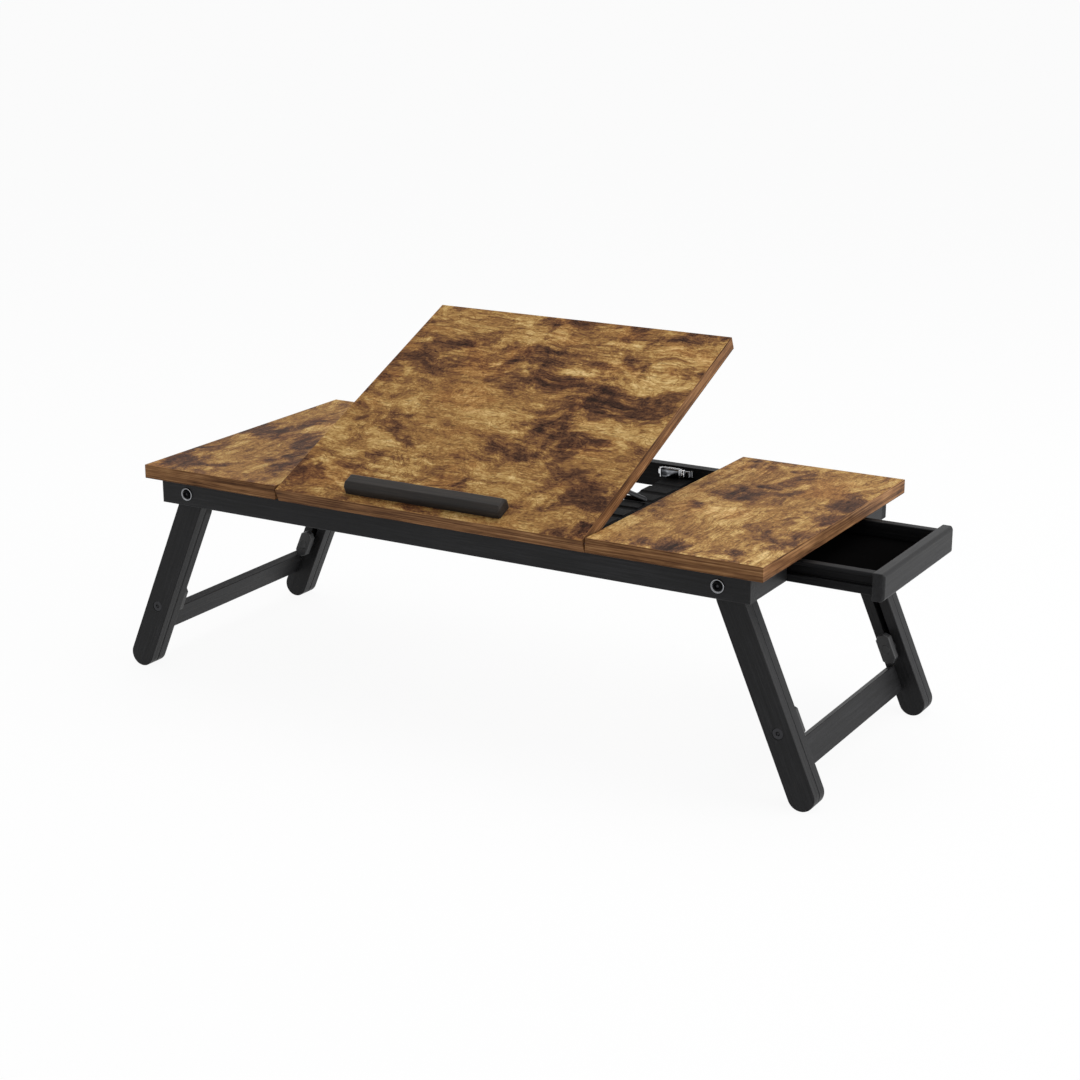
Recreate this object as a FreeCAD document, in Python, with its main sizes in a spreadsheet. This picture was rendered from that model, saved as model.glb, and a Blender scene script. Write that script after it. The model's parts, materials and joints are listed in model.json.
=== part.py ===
"""Folding laptop table with a tilting centre panel and a side drawer, in millimetres.

X runs along the table, Y from front to rear, Z up.  The origin is on the floor under the middle of the top.
The table stands with its legs out, the centre panel propped up on its stay and the drawer pulled part way.
"""
import FreeCAD
import Part
import math
import os

import Sketcher

document = FreeCAD.newDocument("laptop_table")
sheet = document.addObject("Spreadsheet::Sheet", "Sizes")


class Size:
    """A length or an angle that knows both its number and the expression that binds it to the sheet."""

    def __init__(self, number, text):
        self.number = number
        self.text = text

    def __add__(self, other):
        other = as_size(other)
        return Size(self.number + other.number, f"({self.text} + {other.text})")

    def __sub__(self, other):
        other = as_size(other)
        return Size(self.number - other.number, f"({self.text} - {other.text})")

    def __mul__(self, other):
        other = as_size(other)
        return Size(self.number * other.number, f"({self.text} * {other.text})")

    def __truediv__(self, other):
        other = as_size(other)
        return Size(self.number / other.number, f"({self.text} / {other.text})")

    def __radd__(self, other):
        return as_size(other) + self

    def __rsub__(self, other):
        return as_size(other) - self

    def __rmul__(self, other):
        return as_size(other) * self

    def __neg__(self):
        return Size(-self.number, f"(-{self.text})")


def as_size(value):
    return value if isinstance(value, Size) else Size(float(value), repr(float(value)))


def sine(angle):
    return Size(math.sin(math.radians(angle.number)), f"sin({angle.text})")


def cosine(angle):
    return Size(math.cos(math.radians(angle.number)), f"cos({angle.text})")


def root_of_sum(one, two):
    """Length of the diagonal over two legs."""
    return Size(math.hypot(one.number, two.number), f"sqrt({one.text}^2 + {two.text}^2)")


def angle_of(rise, run):
    """Angle in degrees whose tangent is rise over run."""
    number = math.degrees(math.atan2(rise.number, run.number))
    return Size(number, f"(atan2({rise.text}; {run.text}) / 1deg)")


row = 0


def size(alias, number, note):
    """Writes one driving dimension into the sheet and returns it as a Size."""
    global row
    row += 1
    sheet.set(f"A{row}", note)
    sheet.set(f"B{row}", str(number))
    sheet.setAlias(f"B{row}", alias)
    return Size(float(number), f"Sizes.{alias}")


# ---------------------------------------------------------------- driving dimensions
top_length = size("top_length", 720, "length of the whole top")
top_depth = size("top_depth", 350, "depth of the whole top")
top_height = size("top_height", 240, "floor to the upper face of the top")
board_thickness = size("board_thickness", 15, "thickness of the three boards")
left_board_width = size("left_board_width", 171, "width of the fixed left board")
right_board_width = size("right_board_width", 185, "width of the fixed right board")
board_gap = size("board_gap", 2, "gap between neighbouring boards")
board_edge_round = size("board_edge_round", 0.6, "broken edge of the boards")

rail_height = size("rail_height", 26, "height of the frame rails")
rail_thickness = size("rail_thickness", 12, "thickness of the frame rails")
end_overhang = size("end_overhang", 16, "board beyond the frame at each end")
side_overhang = size("side_overhang", 8, "board beyond the frame at front and rear")
rail_edge_round = size("rail_edge_round", 1.2, "rounded long edges of the rails")

tilt_angle = size("tilt_angle", 23.4, "angle of the centre panel")
panel_pin_inset = size("panel_pin_inset", 5.5, "panel pin behind the front edge")
panel_pin_radius = size("panel_pin_radius", 2, "radius of the panel pins")
panel_pin_reach = size("panel_pin_reach", 16, "pin length inside each board")
pin_clearance = size("pin_clearance", 0.1, "running clearance of pins and bolts, on the radius")

ledge_length = size("ledge_length", 184, "length of the book ledge")
ledge_depth = size("ledge_depth", 21, "depth of the book ledge")
ledge_height = size("ledge_height", 13, "height of the book ledge")
ledge_setback = size("ledge_setback", 11, "ledge behind the front edge of the panel")
ledge_shift = size("ledge_shift", -8, "ledge beside the middle of the panel")
ledge_chamfer = size("ledge_chamfer", 4.5, "bevel of the ledge")
ledge_dowel_radius = size("ledge_dowel_radius", 3, "radius of the ledge dowels")
ledge_dowel_depth = size("ledge_dowel_depth", 9, "dowel length in the panel and in the ledge")
ledge_dowel_spread = size("ledge_dowel_spread", 120, "distance between the ledge dowels")

batten_width = size("batten_width", 16, "width of the battens under the board joints")
batten_height = size("batten_height", 18, "height of the battens")
batten_length = size("batten_length", 200, "length of the battens")

rack_width = size("rack_width", 31, "width of a notched rack")
rack_inset = size("rack_inset", 12.5, "middle of a rack inside the arm of the stay")
rack_top_drop = size("rack_top_drop", 12, "top of the racks below the boards")
rack_thickness = size("rack_thickness", 7, "thickness of the racks")
rack_first_notch = size("rack_first_notch", -14, "front notch behind the middle of the table")
notch_pitch = size("notch_pitch", 32, "distance between notches")
notch_count = size("notch_count", 5, "number of notches")
notch_radius = size("notch_radius", 15, "radius of a notch")
notch_depth = size("notch_depth", 1.6, "depth of a notch")
stay_notch_steps = size("stay_notch_steps", 2, "notch that holds the stay, counted from the front one")

stay_pivot_reach = size("stay_pivot_reach", 112, "stay pivot behind the panel pin, along the panel")
stay_pivot_drop = size("stay_pivot_drop", 5, "stay pivot below the panel")
stay_rod_radius = size("stay_rod_radius", 2.5, "radius of the stay rod")
stay_half_width = size("stay_half_width", 132, "stay arm from the middle of the stay")
stay_bend_radius = size("stay_bend_radius", 9, "bend of the stay at its centre line")
stay_stub = size("stay_stub", 22, "turned-out end of the stay")
stay_seat_gap = size("stay_seat_gap", 0.5, "clearance of the stay foot over its notch")
saddle_length = size("saddle_length", 26, "length of a stay saddle along the panel")
saddle_width = size("saddle_width", 11, "width of a stay saddle along the pivot")
saddle_wall = size("saddle_wall", 2.5, "wall of a saddle under the rod")
saddle_screw_radius = size("saddle_screw_radius", 1.5, "shank radius of the saddle screws")
saddle_screw_head = size("saddle_screw_head", 2.4, "head radius of the saddle screws")
saddle_screw_depth = size("saddle_screw_depth", 8, "saddle screw inside the panel")
saddle_screw_margin = size("saddle_screw_margin", 3, "saddle screw from the end of its saddle")

drawer_width = size("drawer_width", 170, "width of the drawer box, front to rear")
drawer_length = size("drawer_length", 150, "length of the drawer box behind its front")
drawer_height = size("drawer_height", 22, "height of the drawer sides")
drawer_top_gap = size("drawer_top_gap", 4, "gap between drawer and boards")
drawer_wall = size("drawer_wall", 10, "thickness of drawer sides and back")
drawer_open = size("drawer_open", 88, "distance that the drawer stands open")
drawer_front_thickness = size("drawer_front_thickness", 12, "thickness of the drawer front")
drawer_front_length = size("drawer_front_length", 184, "length of the drawer front")
drawer_front_rise = size("drawer_front_rise", 2.5, "drawer front above the drawer sides")
drawer_front_drop = size("drawer_front_drop", 3, "drawer front below the drawer sides")
drawer_front_chamfer = size("drawer_front_chamfer", 2.5, "bevel round the drawer front")
drawer_floor_thickness = size("drawer_floor_thickness", 3, "thickness of the drawer floor")
drawer_floor_lift = size("drawer_floor_lift", 3, "drawer floor above the bottom of the sides")
drawer_floor_tongue = size("drawer_floor_tongue", 4, "drawer floor inside its grooves")
runner_height = size("runner_height", 9, "height of the runner tongue")
runner_reach = size("runner_reach", 5, "runner tongue inside the drawer side")
runner_drop = size("runner_drop", 4, "top of the side groove below the top of the side")
runner_body = size("runner_body", 12, "width of the runner beside the drawer")
slide_clearance = size("slide_clearance", 0.4, "clearance of the drawer on its runners")

leg_splay = size("leg_splay", 23.2, "lean of the legs")
leg_width = size("leg_width", 28, "width of the legs")
leg_thickness = size("leg_thickness", 12, "thickness of the legs")
leg_shoulder = size("leg_shoulder", 16, "full width of a leg starts below its pivot")
leg_head_radius = size("leg_head_radius", 12, "round head of a leg about its pivot")
leg_gap = size("leg_gap", 0.3, "side clearance of rail, leg and extension")
leg_edge_round = size("leg_edge_round", 1, "rounded edges of the legs")
leg_stop_gap = size("leg_stop_gap", 0.3, "gap between a leg and the end rail that stops it")
pivot_radius = size("pivot_radius", 3, "shank radius of the pivot bolts")
pivot_head_radius = size("pivot_head_radius", 7, "head radius of the pivot bolts")
pivot_head_height = size("pivot_head_height", 3, "head height of the pivot bolts")
bolt_bevel = size("bolt_bevel", 1, "bevel of the pivot bolt heads and nuts")
pivot_socket = size("pivot_socket", 4, "hexagon socket across its flats")
pivot_nut_radius = size("pivot_nut_radius", 6.5, "radius of the pivot nuts")
pivot_nut_height = size("pivot_nut_height", 4, "height of the pivot nuts")

clamp_reach = size("clamp_reach", 151, "clamp bolt below the pivot, along the leg")
clamp_radius = size("clamp_radius", 3, "shank radius of the clamp bolts")
clamp_head_radius = size("clamp_head_radius", 6, "head radius of the clamp bolts")
clamp_head_height = size("clamp_head_height", 2.5, "head height of the clamp bolts")
extension_top = size("extension_top", 12, "top of an extension leg below the pivot")
extension_travel = size("extension_travel", 56, "travel of the extension legs")
slot_clearance = size("slot_clearance", 0.3, "play of the bolts in the slots")
slot_bridge = size("slot_bridge", 10, "wood above the slot")
guide_pin_radius = size("guide_pin_radius", 3, "radius of the guide pins")
crossbar_reach = size("crossbar_reach", 186, "crossbar below the pivot, along the leg")
crossbar_height = size("crossbar_height", 28, "height of the crossbar along the leg")
crossbar_thickness = size("crossbar_thickness", 9, "thickness of the crossbar")
crossbar_inset = size("crossbar_inset", 0.5, "crossbar inside the edge of the legs")

knob_length = size("knob_length", 32, "length of the bar grip of a knob, along the leg")
knob_width = size("knob_width", 15, "width of the bar grip")
knob_height = size("knob_height", 9, "height of the bar grip")
knob_facet = size("knob_facet", 4.5, "facets at the ends of the bar grip")
knob_boss_radius = size("knob_boss_radius", 7, "radius of the hub under the grip")
knob_neck_radius = size("knob_neck_radius", 5.5, "radius of the hub at the leg")
knob_boss_height = size("knob_boss_height", 7, "height of the hub")
knob_edge_round = size("knob_edge_round", 1.5, "rounded rim of the grip")

catch_length = size("catch_length", 40, "length of the panel catch")
catch_height = size("catch_height", 10, "height of the panel catch")
catch_depth = size("catch_depth", 9, "depth of the panel catch")
catch_centre = size("catch_centre", 106, "panel catch from the middle of the table")
catch_drop = size("catch_drop", 1.8, "panel catch below the boards")
catch_wall = size("catch_wall", 1, "sheet thickness of the panel catch")
catch_edge_round = size("catch_edge_round", 1.5, "rounded edges of the panel catch")
magnet_bevel = size("magnet_bevel", 0.2, "bevel round the face of the magnet")
plate_corner = size("plate_corner", 2, "rounded corners of the strike plate")
magnet_rise = size("magnet_rise", 0.3, "magnet of the panel catch above its housing")
plate_length = size("plate_length", 30, "length of the strike plate under the panel")
plate_thickness = size("plate_thickness", 1.2, "thickness of the strike plate")

# ---------------------------------------------------------------- places that follow from them
board_bottom = top_height - board_thickness
board_middle = top_height - board_thickness / 2
rail_bottom = board_bottom - rail_height
rail_middle = board_bottom - rail_height / 2
frame_end = top_length / 2 - end_overhang
frame_side = top_depth / 2 - side_overhang
frame_inside = frame_side - rail_thickness
left_joint = left_board_width - top_length / 2
right_joint = top_length / 2 - right_board_width
panel_left = left_joint + board_gap
panel_right = right_joint - board_gap
panel_middle = (panel_left + panel_right) / 2
hinge_y = panel_pin_inset - top_depth / 2
hinge_z = board_middle

leg_half = leg_width / 2
pivot_z = rail_middle
leg_length = (pivot_z - leg_half) / cosine(leg_splay)
stop_drop = rail_height / 2 + leg_half * sine(leg_splay)
pivot_x = (frame_end - rail_thickness - leg_stop_gap - leg_half * cosine(leg_splay)
           - stop_drop * sine(leg_splay) / cosine(leg_splay))
leg_y = frame_inside - leg_gap - leg_thickness / 2
extension_y = leg_y - leg_thickness - leg_gap
slot_top = extension_top + slot_bridge + clamp_radius + slot_clearance
guide_reach = slot_top + extension_travel
clamp_x = pivot_x + clamp_reach * sine(leg_splay)
clamp_z = pivot_z - clamp_reach * cosine(leg_splay)

drawer_bottom_z = board_bottom - drawer_top_gap - drawer_height
drawer_outer_end = frame_end + drawer_open + slide_clearance
drawer_inner_end = drawer_outer_end - drawer_length
opening_half = drawer_width / 2 + slide_clearance

ledge_middle = ledge_setback + ledge_depth / 2 - panel_pin_inset
saddle_offset = stay_half_width + stay_stub - saddle_width / 2
saddle_screw_offset = saddle_length / 2 - saddle_screw_margin


# ---------------------------------------------------------------- building blocks
def bind(item, name, value):
    item.setExpression(name, as_size(value).text)


def new_body(label):
    body = document.addObject("PartDesign::Body", label)
    body.Label = label
    return body


PLANES = {"X": ("YZ_Plane", 1), "Y": ("XZ_Plane", -1), "Z": ("XY_Plane", 1)}


def new_sketch(body, axis, offset=None):
    """A sketch square to an axis of the body, offset along that axis."""
    role, direction = PLANES[axis]
    sketch = body.newObject("Sketcher::SketchObject", body.Label + "_sketch")
    plane = [item for item in body.Origin.OriginFeatures if item.Role == role][0]
    sketch.AttachmentSupport = [(plane, "")]
    sketch.MapMode = "FlatFace"
    if offset is not None:
        bind(sketch, "AttachmentOffset.Base.z", as_size(offset) * direction)
    return sketch


def pin_point(sketch, geometry, vertex, point):
    """Ties a vertex to its place, seen from the origin of the sketch."""
    for kind, value in zip(("DistanceX", "DistanceY"), point):
        value = as_size(value)
        number = sketch.addConstraint(Sketcher.Constraint(kind, -1, 1, geometry, vertex, value.number))
        sketch.setExpression(f"Constraints[{number}]", value.text)


def pin_radius(sketch, geometry, radius):
    radius = as_size(radius)
    number = sketch.addConstraint(Sketcher.Constraint("Radius", geometry, radius.number))
    sketch.setExpression(f"Constraints[{number}]", radius.text)


def flat(point):
    return FreeCAD.Vector(as_size(point[0]).number, as_size(point[1]).number, 0)


def draw_polygon(sketch, points):
    first = sketch.GeometryCount
    for index, point in enumerate(points):
        following = points[(index + 1) % len(points)]
        sketch.addGeometry(Part.LineSegment(flat(point), flat(following)))
    for index, point in enumerate(points):
        before = first + (index - 1) % len(points)
        sketch.addConstraint(Sketcher.Constraint("Coincident", before, 2, first + index, 1))
        pin_point(sketch, first + index, 1, point)


def draw_circle(sketch, centre, radius):
    circle = sketch.addGeometry(Part.Circle(flat(centre), FreeCAD.Vector(0, 0, 1), as_size(radius).number))
    pin_point(sketch, circle, 3, centre)
    pin_radius(sketch, circle, radius)


def draw_capsule(sketch, lower, upper, radius):
    """Two round ends over each other, joined by straight sides."""
    low, high, reach = flat(lower), flat(upper), as_size(radius).number
    across = FreeCAD.Vector(reach, 0, 0)
    up = FreeCAD.Vector(0, 0, 1)
    bottom = sketch.addGeometry(Part.ArcOfCircle(Part.Circle(low, up, reach), math.pi, 2 * math.pi))
    right = sketch.addGeometry(Part.LineSegment(low + across, high + across))
    top = sketch.addGeometry(Part.ArcOfCircle(Part.Circle(high, up, reach), 0, math.pi))
    left = sketch.addGeometry(Part.LineSegment(high - across, low - across))
    corners = ((bottom, 2, right, 1), (right, 2, top, 1), (top, 2, left, 1), (left, 2, bottom, 1))
    for one, end, two, start in corners:
        sketch.addConstraint(Sketcher.Constraint("Tangent", one, end, two, start))
    pin_point(sketch, bottom, 3, lower)
    pin_point(sketch, top, 3, upper)
    pin_radius(sketch, bottom, radius)


def pad(body, sketch, thickness):
    """Thickens a sketch evenly to both sides of its plane."""
    feature = body.newObject("PartDesign::Pad", body.Label + "_pad")
    feature.Profile = sketch
    feature.Midplane = True
    bind(feature, "Length", thickness)
    body.Tip = feature
    return feature


def cut(body, sketch, depth=None):
    """Cuts a sketch through the whole body, or as deep as given on both sides of its plane."""
    feature = body.newObject("PartDesign::Pocket", body.Label + "_cut")
    feature.Profile = sketch
    feature.Midplane = True
    if depth is None:
        feature.Type = "ThroughAll"
    else:
        bind(feature, "Length", as_size(depth) * 2)
    body.Tip = feature
    return feature


def edges_where(shape, test):
    return [f"Edge{index + 1}" for index, edge in enumerate(shape.Edges) if test(edge)]


def runs_along(edge, direction):
    """Whether an edge is straight and parallel to a direction."""
    if not isinstance(edge.Curve, Part.Line):
        return False
    return abs(abs(edge.Curve.Direction.dot(FreeCAD.Vector(*direction))) - 1) < 1e-6


def soften(body, kind, amount, test):
    """Rounds (Fillet) or bevels (Chamfer) the edges of the body that pass a test."""
    document.recompute()
    base = body.Tip
    names = edges_where(base.Shape, test)
    feature = body.newObject("PartDesign::" + kind, body.Label + "_" + kind.lower())
    feature.Base = (base, names)
    bind(feature, "Radius" if kind == "Fillet" else "Size", amount)
    body.Tip = feature
    return feature


def place(item, x=0, y=0, z=0, axis=None, angle=None):
    """Puts a sub-part at its place, turned about an axis through its own origin."""
    if axis is not None:
        item.Placement = FreeCAD.Placement(
            FreeCAD.Vector(), FreeCAD.Rotation(FreeCAD.Vector(*axis), as_size(angle).number))
        bind(item, "Placement.Rotation.Angle", angle)
    for name, value in (("x", x), ("y", y), ("z", z)):
        bind(item, "Placement.Base." + name, value)


def block(label, width, depth, height):
    """A board of rectangular outline about its own middle: width along X, depth along Y, height along Z."""
    body = new_body(label)
    x, y = as_size(width) / 2, as_size(depth) / 2
    sketch = new_sketch(body, "Z")
    draw_polygon(sketch, [(-x, -y), (x, -y), (x, y), (-x, y)])
    pad(body, sketch, height)
    return body


def group(label, members):
    """Several like pieces that share one node and stay separate solids."""
    compound = document.addObject("Part::Compound", label)
    compound.Label = label
    compound.Links = members
    return compound


def turned(label, outline):
    """A turned piece about its own Y axis; the outline gives radius and place along Y."""
    body = new_body(label)
    sketch = new_sketch(body, "Z")
    draw_polygon(sketch, outline)
    feature = body.newObject("PartDesign::Revolution", label + "_turning")
    feature.Profile = sketch
    feature.ReferenceAxis = (sketch, ["V_Axis"])
    feature.Angle = 360
    body.Tip = feature
    return body


# ---------------------------------------------------------------- the top
def fixed_board(label, width, middle_x, joint_side):
    """One of the two fixed boards, with the blind hole for its panel pin in the joint edge."""
    board = block(label, width, top_depth, board_thickness)
    hole = new_sketch(board, "X", joint_side * width / 2)
    draw_circle(hole, (hinge_y, 0), panel_pin_radius)
    cut(board, hole, panel_pin_reach)
    limit = board_thickness.number / 2 - 0.01
    soften(board, "Chamfer", board_edge_round, lambda edge: abs(edge.CenterOfMass.z) > limit)
    place(board, middle_x, 0, board_middle)
    return board


left_board = fixed_board("left_board", left_board_width, left_joint - left_board_width / 2, 1)
right_board = fixed_board("right_board", right_board_width, right_joint + right_board_width / 2, -1)


def centre_panel():
    """The tilting board: its own origin is on the pin line, where it turns."""
    panel = new_body("tilt_panel")
    half = (panel_right - panel_left) / 2
    outline = new_sketch(panel, "Z")
    rear = top_depth - panel_pin_inset
    draw_polygon(outline, [(-half, -panel_pin_inset), (half, -panel_pin_inset), (half, rear), (-half, rear)])
    pad(panel, outline, board_thickness)
    for side in (-1, 1):
        hole = new_sketch(panel, "X", half * side)
        draw_circle(hole, (0, 0), panel_pin_radius + pin_clearance)
        cut(panel, hole, panel_pin_reach + pin_clearance)
    dowels = new_sketch(panel, "Z", board_thickness / 2)
    for side in (-1, 1):
        draw_circle(dowels, (ledge_shift + ledge_dowel_spread * side / 2, ledge_middle), ledge_dowel_radius)
    cut(panel, dowels, ledge_dowel_depth)
    screws = new_sketch(panel, "Z", -board_thickness / 2)
    for across in (-saddle_offset, saddle_offset):
        for along in (-saddle_screw_offset, saddle_screw_offset):
            draw_circle(screws, (across, stay_pivot_reach + along), saddle_screw_radius)
    cut(panel, screws, saddle_screw_depth)
    limit = board_thickness.number / 2 - 0.01
    soften(panel, "Chamfer", board_edge_round,
           lambda edge: abs(edge.CenterOfMass.z) > limit and isinstance(edge.Curve, Part.Line))
    return panel


def on_panel(item, along=0, above=0, across=0):
    """Puts a piece on the tilted panel: along and above are measured from the pin line."""
    y = hinge_y + as_size(along) * cosine(tilt_angle) - as_size(above) * sine(tilt_angle)
    z = hinge_z + as_size(along) * sine(tilt_angle) + as_size(above) * cosine(tilt_angle)
    place(item, panel_middle + across, y, z, (1, 0, 0), tilt_angle)


panel = centre_panel()
on_panel(panel)

panel_pins = []
for joint in (left_joint, panel_right):
    pin = document.addObject("Part::Cylinder", "panel_pin")
    bind(pin, "Radius", panel_pin_radius)
    bind(pin, "Height", panel_pin_reach * 2 + board_gap)
    place(pin, joint - panel_pin_reach, hinge_y, hinge_z, (0, 1, 0), 90)
    panel_pins.append(pin)
group("panel_pins", panel_pins)


def book_ledge():
    """A bar with a flat foot, bevelled all round its upper side and at its ends."""
    ledge = new_body("ledge")
    y, c = ledge_depth / 2, ledge_chamfer
    section = new_sketch(ledge, "X")
    draw_polygon(section, [(-y, 0), (y, 0), (y, ledge_height - c), (y - c, ledge_height),
                           (c - y, ledge_height), (-y, ledge_height - c)])
    pad(ledge, section, ledge_length)
    limit = ledge_length.number / 2 - 0.01
    soften(ledge, "Chamfer", ledge_chamfer / 2, lambda edge: abs(edge.CenterOfMass.x) > limit
           and edge.CenterOfMass.z > 0.01)
    seats = new_sketch(ledge, "Z")
    for side in (-1, 1):
        draw_circle(seats, (ledge_dowel_spread * side / 2, 0), ledge_dowel_radius)
    cut(ledge, seats, ledge_dowel_depth)
    return ledge


on_panel(book_ledge(), ledge_middle, board_thickness / 2, ledge_shift)

ledge_dowels = []
for side in (-1, 1):
    dowel = document.addObject("Part::Cylinder", "ledge_dowel")
    bind(dowel, "Radius", ledge_dowel_radius)
    bind(dowel, "Height", ledge_dowel_depth * 2)
    on_panel(dowel, ledge_middle, board_thickness / 2 - ledge_dowel_depth,
             ledge_shift + ledge_dowel_spread * side / 2)
    ledge_dowels.append(dowel)
group("ledge_dowels", ledge_dowels)


# ---------------------------------------------------------------- the frame
def long_rail(label, side):
    """Front (side -1) or rear (side 1) rail with the two bores of the leg pivots."""
    rail = block(label, frame_end * 2, rail_thickness, rail_height)
    bores = new_sketch(rail, "Y")
    for end in (-1, 1):
        draw_circle(bores, (pivot_x * end, 0), pivot_radius)
    cut(rail, bores)
    soften(rail, "Fillet", rail_edge_round, lambda edge: runs_along(edge, (1, 0, 0))
           and edge.CenterOfMass.z < 0 and edge.CenterOfMass.y * side > 0 or runs_along(edge, (0, 0, 1))
           and edge.CenterOfMass.y * side > 0)
    place(rail, 0, (frame_side - rail_thickness / 2) * side, rail_middle)
    return rail


def end_rail(label, end, start, finish):
    """Short rail between the long ones, at the end of the frame, from one Y to another."""
    rail = block(label, rail_thickness, finish - start, rail_height)
    soften(rail, "Fillet", rail_edge_round, lambda edge: runs_along(edge, (0, 1, 0))
           and edge.CenterOfMass.z < 0 and edge.CenterOfMass.x * end > 0)
    place(rail, (frame_end - rail_thickness / 2) * end, (start + finish) / 2, rail_middle)
    return rail


long_rail("front_rail", -1)
long_rail("rear_rail", 1)
end_rail("left_end_rail", -1, -frame_inside, frame_inside)
end_rail("right_end_rail_front", 1, -frame_inside, -opening_half)
end_rail("right_end_rail_rear", 1, opening_half, frame_inside)


def batten(label, joint, side):
    """Bar under a fixed board along its joint with the centre panel; it stops short of the legs, which fold
    in beside it."""
    bar = block(label, batten_width, batten_length, batten_height)
    soften(bar, "Chamfer", rail_edge_round, lambda edge: edge.CenterOfMass.z < 1 - batten_height.number / 2)
    place(bar, joint + batten_width * side / 2, 0, board_bottom - batten_height / 2)
    return bar


batten("left_batten", left_joint, -1)
batten("right_batten", right_joint, 1)


def rack(label, side):
    """Plank between the long rails with round notches across it; one of them holds the foot of the stay."""
    plank = new_body(label)
    section = new_sketch(plank, "X")
    draw_polygon(section, [(-frame_inside, 0), (frame_inside, 0), (frame_inside, rack_thickness),
                           (-frame_inside, rack_thickness)])
    pad(plank, section, rack_width)
    notch = new_sketch(plank, "X")
    draw_circle(notch, (rack_first_notch, rack_thickness + notch_radius - notch_depth), notch_radius)
    first = cut(plank, notch)
    repeat = plank.newObject("PartDesign::LinearPattern", label + "_notches")
    repeat.Originals = [first]
    repeat.Direction = (notch, ["H_Axis"])
    bind(repeat, "Length", notch_pitch * (notch_count - 1))
    bind(repeat, "Occurrences", notch_count)
    plank.Tip = repeat
    middle = panel_middle + (stay_half_width - rack_inset) * side
    place(plank, middle, 0, board_bottom - rack_top_drop - rack_thickness)
    return plank


rack("left_rack", -1)
rack("right_rack", 1)


# ---------------------------------------------------------------- the stay
stay_depth = board_thickness / 2 + stay_pivot_drop
stay_pivot_y = hinge_y + stay_pivot_reach * cosine(tilt_angle) + stay_depth * sine(tilt_angle)
stay_pivot_z = hinge_z + stay_pivot_reach * sine(tilt_angle) - stay_depth * cosine(tilt_angle)
stay_foot_y = rack_first_notch + notch_pitch * stay_notch_steps
stay_foot_z = board_bottom - rack_top_drop - notch_depth + stay_seat_gap + stay_rod_radius
stay_length = root_of_sum(stay_foot_y - stay_pivot_y, stay_pivot_z - stay_foot_z)
stay_lean = angle_of(stay_pivot_z - stay_foot_z, stay_foot_y - stay_pivot_y)


def bent_stay():
    """A rod bent into a U, with both ends turned outward as pivots, drawn flat and swept along its line."""
    stay = new_body("tilt_stay")
    path = new_sketch(stay, "Z")
    half, bend, foot, stub = stay_half_width, stay_bend_radius, stay_length, stay_stub
    centres = [(-half - bend, bend), (-half + bend, foot - bend),
               (half - bend, foot - bend), (half + bend, bend)]
    angles = [(-0.5, 0), (0.5, 1), (0, 0.5), (1, 1.5)]
    runs = [((-half - stub, 0), (-half - bend, 0)), ((-half, bend), (-half, foot - bend)),
            ((-half + bend, foot), (half - bend, foot)), ((half, foot - bend), (half, bend)),
            ((half + bend, 0), (half + stub, 0))]
    for start, finish in runs:
        line = path.addGeometry(Part.LineSegment(flat(start), flat(finish)))
        pin_point(path, line, 1, start)
        pin_point(path, line, 2, finish)
    up = FreeCAD.Vector(0, 0, 1)
    for centre, (start, finish) in zip(centres, angles):
        circle = Part.Circle(flat(centre), up, bend.number)
        arc = path.addGeometry(Part.ArcOfCircle(circle, start * math.pi, finish * math.pi))
        pin_radius(path, arc, bend)
        before, after = centres.index(centre), centres.index(centre) + 1
        clockwise = centre in (centres[1], centres[2])
        ends = (2, 1) if clockwise else (1, 2)
        path.addConstraint(Sketcher.Constraint("Coincident", arc, ends[0], before, 2))
        path.addConstraint(Sketcher.Constraint("Coincident", arc, ends[1], after, 1))
    section = new_sketch(stay, "X", -half - stub)
    draw_circle(section, (0, 0), stay_rod_radius)
    document.recompute()
    sweep = stay.newObject("PartDesign::AdditivePipe", "stay_sweep")
    sweep.Profile = section
    sweep.Spine = (path, [f"Edge{index + 1}" for index in range(len(path.Shape.Edges))])
    stay.Tip = sweep
    place(stay, panel_middle, stay_pivot_y, stay_pivot_z, (1, 0, 0), -stay_lean)
    return stay


bent_stay()


def saddle(side):
    """A clip under the panel with a bore for one end of the stay and two round feet for its screws."""
    clip = new_body("stay_saddle")
    height = stay_pivot_drop + stay_rod_radius + saddle_wall
    section = new_sketch(clip, "X")
    half = saddle_length / 2
    crown = stay_rod_radius + saddle_wall
    root = crown + saddle_wall
    draw_polygon(section, [(-half, 0), (-half, -saddle_wall), (-root, -saddle_wall), (-crown, -height),
                           (crown, -height), (root, -saddle_wall), (half, -saddle_wall), (half, 0)])
    pad(clip, section, saddle_width)
    bore = new_sketch(clip, "X")
    draw_circle(bore, (0, -stay_pivot_drop), stay_rod_radius + pin_clearance)
    cut(clip, bore)
    holes = new_sketch(clip, "Z")
    for end in (-1, 1):
        draw_circle(holes, (0, saddle_screw_offset * end), saddle_screw_radius)
    cut(clip, holes, height)
    soften(clip, "Fillet", 1, lambda edge: runs_along(edge, (1, 0, 0))
           and abs(edge.CenterOfMass.z + height.number) < 0.01)
    on_panel(clip, stay_pivot_reach, -board_thickness / 2, saddle_offset * side)
    return clip


group("stay_saddles", [saddle(-1), saddle(1)])

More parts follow.
